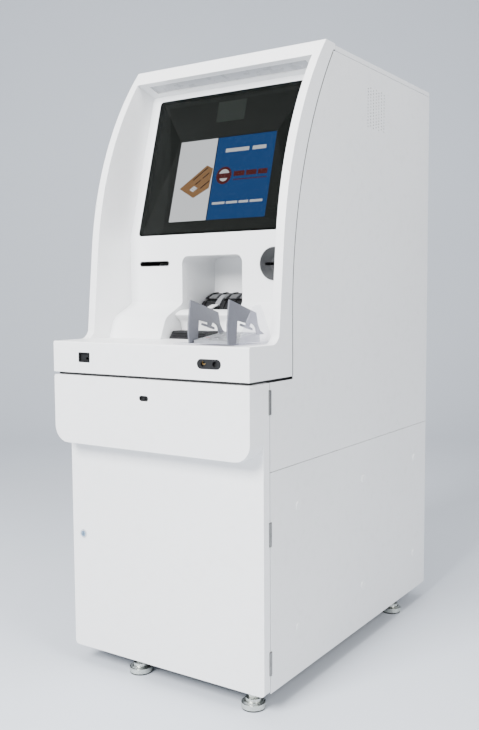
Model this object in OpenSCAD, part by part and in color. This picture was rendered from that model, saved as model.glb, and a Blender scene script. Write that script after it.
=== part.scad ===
// Lobby cash machine: a steel cabinet on levelling feet, a hinged lower door with a
// bump-out, and a hinged fascia that carries the screen, the card reader, the receipt
// slot, the cash bay, the keypad with its guards, and the visor.
// X runs across the front, Y runs from the front to the back, Z is up from the floor.

/* [Cabinet] */
// Width across the side sheets
cabinet_w = 588; // [540:2:706]
// Depth from the shelf's front face to the rear sheet
cabinet_d = 1020; // [850:5:1224]
// Floor to the top of the visor
cabinet_h = 1582; // [1560:2:1620]
// Thickness of the outer steel sheets
sheet_t = 2; // [1.2:0.1:2.6]
// Seam between two fixed sheets
seam = 1.5; // [1:0.1:2]

/* [Feet] */
// Floor to the underside of the cabinet
foot_h = 50; // [42:1:60]
// Diameter of a foot's disc
foot_d = 58; // [50:1:70]
// Thickness of the rubber under a foot's disc
foot_pad_h = 4; // [3:0.5:6]
// Diameter of a levelling screw
foot_screw_d = 12; // [10:1:14]

/* [Side sheets] */
// Height of the seam between the lower and the upper side sheet
side_seam_z = 567; // [500:1:585]
// Depth of the side sheets' front edge
side_front = 84; // [80:1:92]
// Diameter of a blanking plug
plug_d = 25; // [20:1:30]
// Diameter of a vent hole
vent_d = 5; // [4:0.2:6]
// Sideways pitch of the vent holes
vent_pitch_y = 17; // [14:0.5:20]
// Upward pitch of the vent holes
vent_pitch_z = 8.2; // [7.5:0.1:10]

/* [Lower door] */
// Depth of the door's front face behind the shelf's front face
door_front = 56; // [50:1:60]
// Underside of the bump-out
bump_z = 600; // [590:1:620]
// Top of the bump-out
bump_top = 771; // [760:1:772]
// Corner radius of the bump-out
bump_r = 42; // [30:1:55]
// Gap between the door and the side sheets
door_gap = 2; // [1.6:0.1:3]
// Diameter of a hinge knuckle
knuckle_d = 8; // [7:0.5:9]
// Diameter of a hinge pin
pin_d = 4; // [3:0.5:5]
// Radial clearance of a pin in a turning knuckle
pin_fit = 0.05; // [0.02:0.01:0.1]
// Height of one hinge
hinge_h = 55; // [46:1:66]

/* [Fascia] */
// Underside of the fascia
fascia_z = 778; // [777:1:782]
// Height of the shelf's top face
shelf_z = 855; // [845:1:870]
// Width of each cheek's front face
cheek_w = 22; // [18:1:26]
// Wall of the fascia shell
fascia_t = 3; // [2:0.5:4]
// Gap between the fascia and the side sheets
fascia_gap = 3.5; // [2.5:0.5:5]
// Depth of the upright part of the recessed panel
panel_front = 276; // [270:1:284]
// Wall of the recessed panel
panel_t = 2.5; // [2:0.5:3.5]

/* [Screen] */
// Width of the cover glass
glass_w = 485; // [440:1:500]
// Length of the cover glass up the slope
glass_l = 390; // [340:1:395]
// Thickness of the cover glass
glass_t = 5; // [3:0.5:6]
// Width of the picture
screen_w = 304; // [250:1:340]
// Length of the picture up the slope
screen_l = 228; // [190:1:260]

/* [Card and receipt] */
// Diameter of the round card bezel
card_bezel_d = 82; // [76:1:92]
// Width of the card slot
card_slot_w = 60; // [56:1:64]
// Height of the card slot
card_slot_h = 7; // [5:0.5:9]
// Width of the receipt slot
receipt_w = 97; // [84:1:106]
// Height of the receipt slot
receipt_h = 10; // [9:1:13]

/* [Cash bay] */
// Width of the cash bay
bay_w = 190; // [180:1:200]
// Top of the cash bay
bay_top = 1070; // [1055:1:1080]
// Depth of the bay's back wall
bay_back = 426; // [400:1:430]
// Corner radius of the bay's mouth
bay_r = 20; // [12:1:26]

/* [Keypad] */
// Distance of the keypad's middle from the middle of the machine
keypad_x = 181; // [170:1:184]
// Side of a square key
key_s = 19; // [15:0.5:20]
// Pitch of the keys
key_pitch = 27; // [25:0.5:28]
// Travel of a key
key_travel = 2; // [1.5:0.1:2.5]
// Thickness of a guard plate
guard_t = 4; // [3:0.5:5]
// Distance between the two guard plates' middles
guard_span = 106; // [104:1:112]

/* [Hidden] */
$fn = 48;
eps = 0.01;
fit = 0.5;                    // clearance between loose-fitting fixed pieces
hw = cabinet_w / 2;           // half of the width
back = cabinet_d;
lid_lip = 12.6;               // height of the top cover's turned-down edge
visor_step = 4;               // the visor stands this much above the top cover
lid_z = cabinet_h - visor_step;
side_top = lid_z - lid_lip - 1;
flange = 15;                  // turned-in edges of the sheets

// ---- small helpers -------------------------------------------------------------

// Puts the front face at minus half the depth, so that the origin is under the middle.
module placed() { translate([0, -cabinet_d / 2, 0]) children(); }

// Extrudes a depth-and-height outline across the machine, centred on x.
module across(w, x = 0) {
  translate([x, 0, 0]) rotate([90, 0, 90]) linear_extrude(w, center = true) children();
}

// Extrudes a width-and-height outline backwards from depth y.
module backwards(y, l) {
  translate([0, y + l, 0]) rotate([90, 0, 0]) linear_extrude(l) children();
}

// A box given by its low and high corners.
module box(a, b) { translate(a) cube(b - a); }

// A slot with round ends, w wide and h high, around the origin.
module slot2d(w, h) {
  square([w - h, h], center = true);
  for (s = [-1, 1]) translate([s * (w - h) / 2, 0]) circle(d = h);
}

// A rectangle with round corners, around the origin.
module round2d(w, h, r) {
  square([w - 2 * r, h], center = true);
  square([w, h - 2 * r], center = true);
  for (i = [-1, 1], j = [-1, 1]) translate([i * (w / 2 - r), j * (h / 2 - r)]) circle(r);
}

function unit(v) = v / norm(v);
function rightwards(a, b) = let (d = unit(b - a)) [d[1], -d[0]];
// A line of points moved by t to the right of its direction of travel.
function moved(pts, t) = [for (i = [0 : len(pts) - 1])
  let (a = max(i - 1, 0), b = min(i, len(pts) - 2),
    m = rightwards(pts[a], pts[a + 1]) + rightwards(pts[b], pts[b + 1]))
  pts[i] + t * 2 * m / (m * m)];
function reversed(pts) = [for (i = [len(pts) - 1 : -1 : 0]) pts[i]];
function ribbon(pts, t) = concat(pts, reversed(moved(pts, t)));

// ---- the fascia's side outline, as depth and height ------------------------------

cheek_r = 930;                // radius of the cheek's bulging front edge
cheek_lean = 5.5;             // lean of the straight stretch below it
cheek_start = [146.5, 1087];  // where the straight stretch meets the bulge
cheek_c = cheek_start + cheek_r * [cos(cheek_lean), -sin(cheek_lean)];
cheek_end = asin((cabinet_h - cheek_c[1]) / cheek_r);
shelf_fillet = 30;
foot_y = cheek_start[0] - (cheek_start[1] - shelf_z - shelf_fillet) * tan(cheek_lean);
seam_r = 1100;                // radius of the seam between the cheek and the side sheet
seam_y = 186;                 // depth of the seam's upright stretch
seam_bend_z = 930;
shelf_edge_r = 4;

// The shelf's front face and its rounded top edge.
shelf_edge = concat([[0, fascia_z]], [for (a = [0 : 22.5 : 90])
  [shelf_edge_r, shelf_z - shelf_edge_r] + shelf_edge_r * [-cos(a), sin(a)]]);

// The cheek's front edge from the shelf to the top, moved back by t.
function bulge(t) = concat(
  [for (a = [0 : 15 : 75]) [foot_y - shelf_fillet, shelf_z + shelf_fillet]
    + (shelf_fillet + t) * [sin(a), -cos(a)]],
  [for (i = [0 : 24]) let (a = cheek_lean + (cheek_end - cheek_lean) * i / 24)
    cheek_c + (cheek_r - t) * [-cos(a), sin(a)]]);

// The seam behind the cheek from the bottom up to height z, moved back by t.
function seam_edge(t, bottom, top) = concat(
  [[seam_y + t, bottom]],
  [for (i = [0 : 16]) let (a = asin((top - seam_bend_z) / seam_r) * i / 16)
    [seam_y + seam_r, seam_bend_z] + (seam_r - t) * [-cos(a), sin(a)]]);

visor_back = 396;
under_front = [318, cabinet_h - 40];    // the visor's lower front edge
panel_top = [388.5, cabinet_h - 62];    // where the leaning panel meets the visor
panel_kink = [panel_front, 1124];
lean = atan((panel_top[0] - panel_kink[0]) / (panel_top[1] - panel_kink[1]));

cheek_outline = concat(shelf_edge, bulge(0), [[visor_back, cabinet_h], [visor_back, side_top + 3]],
  reversed(seam_edge(-fascia_gap / 2, fascia_z, side_top)));

// The recessed panel's front line, from the shelf over the hump to the visor.
hump = concat([[181, shelf_z]],
  [for (a = [0 : 13 : 39]) [231, shelf_z + 29] + 35 * [-cos(26 + a), sin(26 + a)]],
  [[270, shelf_z + 87]]);
panel_line = concat(hump, [[panel_front, shelf_z + 94], panel_kink, panel_top]);

// ---- the lines of the visor and of the leaning glass ------------------------------

// Turns children onto the leaning panel: x across, y up the slope, z out of the panel.
module on_slope(up = 0) {
  translate([0, panel_kink[0], panel_kink[1]]) rotate([90 - lean, 0, 0])
    translate([0, up, 0]) children();
}
glass_up = 4;                 // bottom edge of the glass above the kink
screen_up = glass_up + 37;    // bottom edge of the picture above the kink
glass_gap = 1;

// ---- hinges -----------------------------------------------------------------------

hinge_x = hw - 0.5;           // both hinge lines stand at the outer face of the sides
door_hinge_y = side_front - door_gap / 2;
door_hinge_z = [foot_h + 44, (foot_h + 44 + bump_top - 72) / 2, bump_top - 72];
fascia_hinge_y = seam_y;
fascia_hinge_z = [shelf_z + 15, 1150];
leaf_t = 3;
leaf_l = 24;
knuckle_gap = 0.4;

// One knuckle, a leaf beside it, and the bore for the pin.
// dir is -1 for a leaf that runs forwards and 1 for one that runs backwards.
module knuckle(z0, h, dir, bore) {
  difference() {
    union() {
      translate([0, 0, z0]) cylinder(d = knuckle_d, h = h);
      translate([-1.5 - leaf_t, min(0, dir * leaf_l), z0]) cube([leaf_t, leaf_l, h]);
    }
    translate([0, 0, z0 - 1]) cylinder(d = bore, h = h + 2);
  }
}
// The turning half takes the lower part and the fixed half the upper part.
module turning_half(dir) { knuckle(0, (hinge_h - knuckle_gap) / 2, dir, pin_d + 2 * pin_fit); }
module fixed_half(dir) {
  knuckle((hinge_h + knuckle_gap) / 2, (hinge_h - knuckle_gap) / 2, dir, pin_d);
}
module at_door_hinges() {
  for (z = door_hinge_z) translate([hinge_x, door_hinge_y, z]) children();
}
module at_fascia_hinges() {
  for (z = fascia_hinge_z) translate([-hinge_x, fascia_hinge_y, z]) mirror([1, 0, 0]) children();
}
// The room that a hinge needs in the sheets around it.
module hinge_room(front = 4.6, rear = 8) {
  translate([-12, -front, -1]) cube([20, front + rear, hinge_h + 2]);
}

// ---- cabinet ------------------------------------------------------------------------

foot_places = [[-110, 102], [240, 94], [-240, 250], [-240, back - 176], [hw - 35, back - 176]];

module at_feet() { for (p = foot_places) translate([p[0], p[1], 0]) children(); }

module foot_pads() {
  color("#2a2c2c") placed() at_feet() cylinder(d = foot_d - 2, h = foot_pad_h);
}

disc_h = 12;                  // height of a foot's steel disc
module foot_stems() {
  color("#9aa09a") placed() at_feet() {
    translate([0, 0, foot_pad_h]) cylinder(d = foot_d, h = disc_h);
    translate([0, 0, foot_pad_h + disc_h]) cylinder(d1 = foot_d - 6, d2 = foot_d - 14, h = 3);
    translate([0, 0, foot_pad_h + disc_h + 3]) cylinder(d = foot_d - 20, h = 8);
    translate([0, 0, foot_pad_h + disc_h + 11]) cylinder(d = foot_screw_d + 12, h = 10, $fn = 6);
    translate([0, 0, foot_pad_h]) cylinder(d = foot_screw_d, h = foot_h + 24 - foot_pad_h);
  }
}

module base_plate() {
  color("#5d6063") placed() difference() {
    union() {
      box([-hw + sheet_t + fit, side_front + 2, foot_h + 2], [hw - sheet_t - fit,
        back - sheet_t - fit, foot_h + 6]);
      at_feet() translate([0, 0, foot_h + 6]) cylinder(d = foot_screw_d + 7, h = 12);
    }
    at_feet() cylinder(d = foot_screw_d, h = foot_h + 60);
  }
}

plug_rows = [foot_h + 116, foot_h + 415];
plug_cols = [212, (212 + back - 91) / 2, back - 91];
module at_plugs(s) {
  for (y = plug_cols, z = plug_rows) translate([s * hw, y, z]) rotate([0, s * 90, 0]) children();
}

// A side sheet is an outline with turned-in edges at its back, top and bottom.
module lower_side(s) {
  color("#dfe1e2") placed() difference() {
    union() {
      box([s > 0 ? hw - sheet_t : -hw, side_front, foot_h],
        [s > 0 ? hw : -hw + sheet_t, back - sheet_t, side_seam_z - seam / 2]);
      for (z = [foot_h + 6 + fit, side_seam_z - seam / 2 - sheet_t])
        box([s > 0 ? hw - flange : -hw, side_front + 20, z],
          [s > 0 ? hw : -hw + flange, back - sheet_t - fit, z + sheet_t]);
    }
    at_plugs(s) translate([0, 0, -sheet_t - 1]) cylinder(d = plug_d - 4, h = sheet_t + 2);
    if (s > 0) at_door_hinges() hinge_room();
    at_feet() cylinder(d = 36, h = foot_h + 60);
  }
}

upper_outline = concat([[side_front, side_seam_z + seam / 2], [side_front, bump_top]],
  seam_edge(fascia_gap / 2, bump_top, side_top),
  [[visor_back + 2, side_top], [back - sheet_t, side_top],
   [back - sheet_t, side_seam_z + seam / 2]]);

vent_cols = 7;
vent_rows = 13;
vent_at = [586, 1411];
module vent_holes() {
  for (i = [0 : vent_cols - 1], j = [0 : vent_rows - 1])
    translate([0, vent_at[0] + i * vent_pitch_y, vent_at[1]
      + (j + (i % 2) / 2) * vent_pitch_z]) rotate([0, 90, 0])
      cylinder(d = vent_d, h = 2 * hw + 40, center = true, $fn = 16);
}

module upper_side(s) {
  color("#dfe1e2") placed() difference() {
    union() {
      across(sheet_t, s * (hw - sheet_t / 2)) polygon(upper_outline);
      for (z = [side_seam_z + seam / 2, side_top - sheet_t])
        box([s > 0 ? hw - flange : -hw, visor_back + 40, z],
          [s > 0 ? hw : -hw + flange, back - sheet_t - fit, z + sheet_t]);
    }
    vent_holes();
    if (s > 0) at_door_hinges() hinge_room();
    if (s < 0) at_fascia_hinges() hinge_room(9, 9);
  }
}

module rear_panel() {
  color("#d6d8d9") placed() difference() {
    box([-hw, back - sheet_t, foot_h], [hw, back, side_top]);
    for (k = [-1, 1], i = [0 : 9]) translate([k * hw * 0.45, back, side_top - 330 + i * 22])
      rotate([90, 0, 0]) linear_extrude(20, center = true) slot2d(hw * 0.6, 8);
    translate([fan_x, back, fan_z]) rotate([90, 0, 0])
      cylinder(d = fan_d - 8, h = 20, center = true);
    box([inlet_x - 30, back - 20, inlet_z - 16], [inlet_x + 30, back + 1, inlet_z + 16]);
  }
}

module top_cover() {
  color("#e4e6e6") placed() difference() {
    box([-hw, visor_back + 2, lid_z - lid_lip], [hw, back, lid_z]);
    box([-hw + sheet_t, 0, lid_z - lid_lip - 1], [hw - sheet_t, back - sheet_t, lid_z - sheet_t]);
  }
}

deck_t = 6;
deck_z = side_seam_z + seam / 2 + sheet_t;
module mid_deck() {
  color("#5d6063") placed() difference() {
    box([-hw + flange + 1, side_front + 40, deck_z], [hw - flange - 1, back - sheet_t - fit,
      deck_z + deck_t]);
    box([-70, deck_back, deck_z - 1], [70, deck_back + 90, deck_z + deck_t + 1]);
  }
}

// The black frame behind the lower door, with the plate that fills the long gap.
frame_y = side_front + 4;
lip_w = 16;
rivet_gap = 0.1;              // gap between plates that are riveted together
module front_frame() {
  color("#1d1e20") placed() difference() {
    union() {
      for (s = [-1, 1])
        box([s > 0 ? hw - sheet_t - lip_w : -hw + sheet_t + fit, frame_y, foot_h + 6 + fit],
          [s > 0 ? hw - sheet_t - fit : -hw + sheet_t + lip_w, frame_y + 2, bump_top - 34
            - rivet_gap]);
      box([-hw + sheet_t + fit, frame_y, bump_top - 34], [hw - sheet_t - fit, frame_y + 14,
        bump_top]);
      box([-hw + 9, 10, bump_top + 0.8], [hw - 9, seam_y + 60, fascia_z - 0.8]);
      box([-hw + 9, frame_y, bump_top - 1], [hw - 9, frame_y + 14, fascia_z - 1]);
    }
    at_door_hinges() translate([-20, -8, -1]) cube([30, 40, hinge_h + 2]);
  }
}

module side_plugs() {
  color("#eceeee") placed() for (s = [-1, 1]) at_plugs(s) {
    cylinder(d1 = plug_d, d2 = plug_d - 4, h = 2);
    translate([0, 0, -6]) cylinder(d = plug_d - 4, h = 6.4);
  }
}

// ---- what the cabinet holds ----------------------------------------------------------

cassette_w = 230;
cassette_l = 400;
cassette_n = 4;
rack_wall = 4;
rack_w = cassette_w + 4 + 2 * rack_wall;
rack_front = side_front + 60;
rack_back = rack_front + cassette_l + 30;
rack_z = foot_h + 6;
rack_h = deck_z - rack_z - 20;
bay_pitch = (rack_h - rack_wall) / cassette_n;
cassette_h = bay_pitch - rack_wall - 4;
module at_bays() {
  for (i = [0 : cassette_n - 1]) translate([0, 0, rack_z + rack_wall + i * bay_pitch]) children();
}

module cassette_rack() {
  side = rack_w / 2 - rack_wall;
  color("#74797d") placed() {
    for (x = [-rack_w / 2, side])
      box([x, rack_front, rack_z], [x + rack_wall, rack_back, rack_z + rack_h]);
    for (i = [0 : cassette_n]) translate([0, 0, rack_z + i * bay_pitch])
      box([-side + rivet_gap, rack_front, 0], [side - rivet_gap, rack_back - rack_wall - rivet_gap,
        rack_wall]);
    box([-side + rivet_gap, rack_back - rack_wall, rack_z], [side - rivet_gap, rack_back,
      rack_z + rack_h]);
  }
}

// Each cassette has a finger pocket in its front face.
pocket_w = 120;
pocket_h = 36;
module cash_cassettes() {
  color("#44484c") placed() at_bays() difference() {
    box([-cassette_w / 2, rack_front + 4, 0], [cassette_w / 2, rack_front + 4 + cassette_l,
      cassette_h]);
    box([-pocket_w / 2, rack_front, cassette_h / 2 - pocket_h / 2], [pocket_w / 2,
      rack_front + 28, cassette_h / 2 + pocket_h / 2]);
  }
}

deck_back = bay_back + 30;    // fixed modules of the upper box start here
upper_z = deck_z + deck_t;
module note_transport() {
  color("#6f7478") placed() {
    box([-105, deck_back, upper_z], [105, deck_back + 150, bay_top - 20]);
    box([-95, bay_back + 14, exit_z - 20], [95, deck_back + 1, exit_z + 30]);
  }
}

module pc_case() {
  color("#b9bcbe") placed() difference() {
    box([-hw + flange + 20, deck_back + 180, upper_z], [-20, back - 60, upper_z + 180]);
    for (i = [0 : 6]) box([-hw + flange + 50 + i * 18, deck_back + 170, upper_z + 50],
      [-hw + flange + 58 + i * 18, deck_back + 182, upper_z + 150]);
  }
}

module power_supply() {
  color("#a7abad") placed() {
    box([20, deck_back + 180, upper_z], [hw - flange - 30, back - 60, upper_z + 110]);
    box([60, deck_back + 210, upper_z + 110 - eps], [hw - flange - 60, back - 90, upper_z + 116]);
  }
}

fan_d = 120;
fan_x = hw - 150;
fan_z = upper_z + 260;
module fan_frame() {
  color("#232527") placed() translate([fan_x, back - sheet_t - 27, fan_z]) rotate([-90, 0, 0]) {
    difference() {
      translate([0, 0, 13.5]) cube([fan_d, fan_d, 27], center = true);
      translate([0, 0, -1]) cylinder(d = fan_d - 5, h = 30);
    }
    cylinder(d = 36, h = 3);
    for (a = [45 : 90 : 315]) rotate(a) translate([0, -2, 0]) cube([fan_d / 2 - 2, 4, 3]);
    cylinder(d = 6, h = 12);
  }
}

module fan_rotor() {
  color("#303336") placed() translate([fan_x, back - sheet_t - 27, fan_z]) rotate([-90, 0, 0])
    difference() {
      union() {
        translate([0, 0, 5]) cylinder(d = 38, h = 19);
        for (a = [0 : 360 / 7 : 359]) rotate(a) translate([0, 0, 14.5]) rotate([34, 0, 0])
          translate([17, -1, -10]) cube([fan_d / 2 - 23, 2, 20]);
      }
      translate([0, 0, 4]) cylinder(d = 6 + 2 * pin_fit, h = 30);
    }
}

inlet_x = -hw + 110;
inlet_z = upper_z + 60;
switch_w = 13;
module power_inlet() {
  color("#1c1d1f") placed() difference() {
    box([inlet_x - 30, back - 26, inlet_z - 16], [inlet_x + 30, back - fit, inlet_z + 16]);
    box([inlet_x - 24, back - 20, inlet_z - 9], [inlet_x + 3, back + 1, inlet_z + 9]);
    box([inlet_x + 9, back - 16, inlet_z - 11.5], [inlet_x + 9 + switch_w + 2, back + 1,
      inlet_z + 11.5]);
    at_switch() cylinder(d = switch_pin_d + 2 * pin_fit, h = switch_w + 6, center = true);
  }
  color("#b0b3b5") placed() for (p = [[-17, -3], [-10.5, 3], [-4, -3]])
    box([inlet_x + p[0] - 1, back - 21, inlet_z + p[1] - 2], [inlet_x + p[0] + 1, back - 6,
      inlet_z + p[1] + 2]);
}

switch_pin_d = 3;
// The rocker's own pin: local Z runs across the machine.
module at_switch() {
  translate([inlet_x + 10 + switch_w / 2, back - 8, inlet_z]) rotate([0, 90, 0]) children();
}
module power_switch() {
  color("#2b2d30") placed() at_switch() {
    rotate([0, 0, 90]) linear_extrude(switch_w, center = true)
      polygon([[-4, -6], [-4, 6], [-2, 9], [4, 9.6], [3, 0], [4, -9.6], [-2, -9]]);
    cylinder(d = switch_pin_d, h = switch_w + 5, center = true);
  }
}

module hinge_pins() {
  color("#c9cccd") placed() {
    at_door_hinges() translate([0, 0, -0.5]) cylinder(d = pin_d, h = hinge_h + 1);
    at_fascia_hinges() translate([0, 0, -0.5]) cylinder(d = pin_d, h = hinge_h + 1);
  }
}

module cabinet_hinges() {
  color("#c4c8ca") placed() {
    at_door_hinges() {
      fixed_half(1);
      translate([-1.5 - leaf_t, knuckle_d / 2 + 1, 0]) cube([leaf_t, leaf_l - 5, hinge_h]);
    }
    at_fascia_hinges() {
      fixed_half(1);
      translate([-1.5 - leaf_t, knuckle_d / 2 + 1, 0]) cube([leaf_t, 44, hinge_h]);
    }
  }
}

// ---- lower door ------------------------------------------------------------------------

door_back = side_front - door_gap;
door_top = bump_top;
door_r = 10;                  // radius of the door's lower corners
// The door's face, drawn in by t.
module door2d(t) {
  w = hw - t;
  r = door_r - t;
  translate([-w, foot_h + door_r]) square([2 * w, door_top - foot_h - door_r - t]);
  translate([-w + r, foot_h + t]) square([2 * (w - r), r + 1]);
  for (s = [-1, 1]) translate([s * (w - r), foot_h + door_r]) circle(r);
}
module door_panel() {
  color("#e6e8e8") placed() difference() {
    backwards(door_front, door_back - door_front) door2d(0);
    backwards(door_front + sheet_t, door_back) door2d(sheet_t);
    box([-hw + 20, 0, bump_z + 20], [hw - 20, door_front + 10, door_top - 20]);
    at_door_hinges() hinge_room();
    translate([lock_at[0], 0, lock_at[1]]) rotate([-90, 0, 0]) cylinder(d = 18, h = back);
  }
}

bump_top_r = 6;               // radius of the bump-out's upper corners
module bump2d(r, inset) {
  w = hw - inset;
  z0 = bump_z + inset;
  z1 = bump_top - inset;
  top_r = bump_top_r - inset;
  translate([-w, z0 + r]) square([2 * w, z1 - top_r - z0 - r]);
  translate([-w + top_r, z1 - top_r - 1]) square([2 * (w - top_r), top_r + 1]);
  translate([-w + r, z0]) square([2 * w - 2 * r, r + 1]);
  for (s = [-1, 1]) {
    translate([s * (w - r), z0 + r]) circle(r, $fn = 96);
    translate([s * (w - top_r), z1 - top_r]) circle(top_r);
  }
}

key_at = [-3, 726];
module door_bump() {
  color("#eceeee") placed() difference() {
    backwards(0, door_front) bump2d(bump_r, 0);
    backwards(sheet_t + 0.5, door_front) bump2d(bump_r - sheet_t - 0.5, sheet_t + 0.5);
    translate([key_at[0], 0, key_at[1]]) rotate([90, 0, 0])
      linear_extrude(20, center = true) slot2d(28, 13);
  }
}

module door_hinges() {
  color("#c4c8ca") placed() at_door_hinges() {
    turning_half(-1);
    translate([-1.5 - leaf_t, -leaf_l, 0]) cube([leaf_t, leaf_l - knuckle_d / 2 - 1, hinge_h]);
  }
}

lock_at = [-hw + 37, 352];
lock_d = 14;
module at_lock() { placed() translate([lock_at[0], door_front, lock_at[1]]) rotate([-90, 0, 0]) children(); }
module lock_body() {
  color("#c8ccd0") at_lock() difference() {
    union() {
      translate([0, 0, -2.5]) cylinder(d = 22, h = 2.5);
      translate([0, 0, -eps]) cylinder(d = 18, h = 24);
      translate([0, 0, sheet_t]) cylinder(d = 24, h = 4);
    }
    translate([0, 0, -4]) cylinder(d = lock_d + 2 * pin_fit, h = 40);
  }
}

module lock_barrel() {
  color("#8fa3b5") at_lock() difference() {
    union() {
      translate([0, 0, -3]) cylinder(d = lock_d, h = 45);
      translate([-6, -6, frame_y + 6 - door_front]) cube([12, 36, 3]);
    }
    translate([-0.8, -4, -4]) cube([1.6, 8, 8]);
  }
}

module key_plate() {
  color("#17181a") placed() translate([key_at[0], 0, key_at[1]]) rotate([-90, 0, 0]) {
    difference() {
      translate([0, 0, 1]) linear_extrude(9) slot2d(28, 13);
      translate([0, 0, 0]) linear_extrude(5) slot2d(24, 9);
    }
    translate([0, 0, 1.5]) cylinder(d = 6, h = 5);
  }
}

// ---- fascia ------------------------------------------------------------------------------

recess_w = 2 * (hw - cheek_w);
recess_cut = [[-20, shelf_z], [500, shelf_z], [500, panel_top[1] - 35], panel_top,
  under_front, [under_front[0] - 20, under_front[1] + 16], [-20, under_front[1] + 16]];
cheek_hollow = concat(moved_front(fascia_t), [[visor_back + 40, cabinet_h - fascia_t],
  [visor_back + 40, fascia_z + fascia_t]]);
function moved_front(t) = concat([[t, fascia_z + t], [t, shelf_z - t]], bulge_below(t));
function bulge_below(t) = [for (p = bulge(t)) if (p[1] < cabinet_h - t) p];
wall_outline = concat([for (p = bulge(1)) if (p[1] < under_front[1]) p],
  [under_front, panel_top + [2, 3], panel_kink + [2, 0], [panel_front + 2, shelf_z + 90],
   [267, shelf_z + 84], [215, shelf_z + 58], [185, shelf_z - 2]]);

module fascia_shell() {
  color("#eef0f0") placed() difference() {
    union() {
      difference() {
        across(2 * hw) polygon(cheek_outline);
        across(recess_w) polygon(recess_cut);
        for (s = [-1, 1]) across(cheek_w - 2 * fascia_t, s * (hw - cheek_w / 2))
          polygon(cheek_hollow);
        box([-hw + cheek_w - fascia_t - 1, fascia_t, fascia_z + fascia_t], [hw - cheek_w
          + fascia_t + 1, seam_y + 20, shelf_z - fascia_t]);
        across(recess_w + 2 * fascia_t + 2) polygon(visor_hollow);
      }
      for (s = [-1, 1]) across(fascia_t, s * (recess_w / 2 + fascia_t / 2))
        polygon(wall_outline);
      across(recess_w + fascia_t) polygon([under(8, 0), under(73.6, 0), under(73.6, 3),
        under(8, 3)]);
      across(light_w + 6) polygon([under(15, 1), under(61, 1), under(61, light_set + 6.4),
        under(15, light_set + 6.4)]);
    }
    across(light_w + 0.8) polygon([under(18, -4), under(58, -4), under(58, light_set + 3.4),
      under(18, light_set + 3.4)]);
    at_fascia_hinges() hinge_room(9, 60);
    for (p = socket_places) translate([p[0], 0, p[1]]) rotate([90, 0, 0])
      linear_extrude(20, center = true) round2d(p[2], p[3], p[4]);
    translate([socket_places[0][0], 0, socket_places[0][1]]) rotate([90, 0, 0])
      linear_extrude(1, center = true) difference() {
        round2d(socket_frame[0], socket_frame[1], 2);
        round2d(socket_frame[0] - 1.6, socket_frame[1] - 1.6, 1.2);
      }
  }
  color("#c4c8ca") placed() at_fascia_hinges() {
    turning_half(-1);
    translate([-leaf_t - 1.5, -leaf_l, 0]) cube([leaf_t, leaf_l - knuckle_d / 2 - 1, hinge_h]);
  }
}

// The room inside the visor, open to the back.
visor_hollow = [under_front + [7, 3], [under_front[0] + 37, cabinet_h - fascia_t],
  [visor_back + 20, cabinet_h - fascia_t], [visor_back + 20, panel_top[1] - 2],
  panel_top + [0, 4]];

light_w = recess_w - 56;
light_set = 4;                // how deep the cover sits in the visor's underside
under_dir = unit(panel_top - under_front);
under_in = [-under_dir[1], under_dir[0]];
function under(along, deep) = under_front + along * under_dir + deep * under_in;
module visor_light() {
  color("#f4f6f8") placed() across(light_w) polygon([under(18.4, light_set), under(57.6, light_set),
    under(57.6, light_set + 3), under(18.4, light_set + 3)]);
}

card_at = [hw - 103.5, 1044];
receipt_at = [-hw + 106, 1052];

module fascia_panel() {
  color("#e9ebeb") placed() difference() {
    across(recess_w) polygon(ribbon(panel_line, panel_t));
    box([-hw, 0, shelf_z - 20], [hw, panel_front, shelf_z]);
    on_slope(glass_up + glass_l / 2) linear_extrude(60, center = true)
      round2d(glass_w + 2 * glass_gap, glass_l + 2 * glass_gap, 10);
    backwards(150, 200) bay2d(0);
    translate([card_at[0], 260, card_at[1]]) rotate([-90, 0, 0])
      cylinder(d = card_bezel_d - 8, h = 40);
    translate([receipt_at[0], 290, receipt_at[1]]) rotate([90, 0, 0])
      linear_extrude(60, center = true) slot2d(receipt_w + 2, receipt_h + 2);
  }
}

// The bay's mouth: round top corners, and straight sides down to the shelf.
module bay2d(t) {
  w = bay_w / 2 + t;
  r = bay_r + t;
  translate([-w, shelf_z - t]) square([2 * w, bay_top - r - shelf_z + 2 * t]);
  translate([-w + r, bay_top + t - r - 1]) square([2 * w - 2 * r, r + 1]);
  for (s = [-1, 1]) translate([s * (w - r), bay_top + t - r]) circle(r);
}

bay_t = 2.5;
shelf_back = seam_y - fascia_gap / 2;
exit_z = shelf_z + 96;        // underside of the note exit
exit_h = 6;
exit_w = bay_w - 24;
module cash_bay() {
  color("#e3e5e5") placed() difference() {
    backwards(shelf_back, bay_back + bay_t - shelf_back) bay2d(bay_t);
    backwards(shelf_back - 10, bay_back - shelf_back + 10) bay2d(0);
    across(2 * bay_w) polygon(concat([[100, shelf_z]], moved(panel_line, panel_t),
      [[100, panel_top[1]]]));
    box([-exit_w / 2, bay_back - 1, exit_z], [exit_w / 2, bay_back + 10, exit_z + exit_h]);
  }
}

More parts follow.
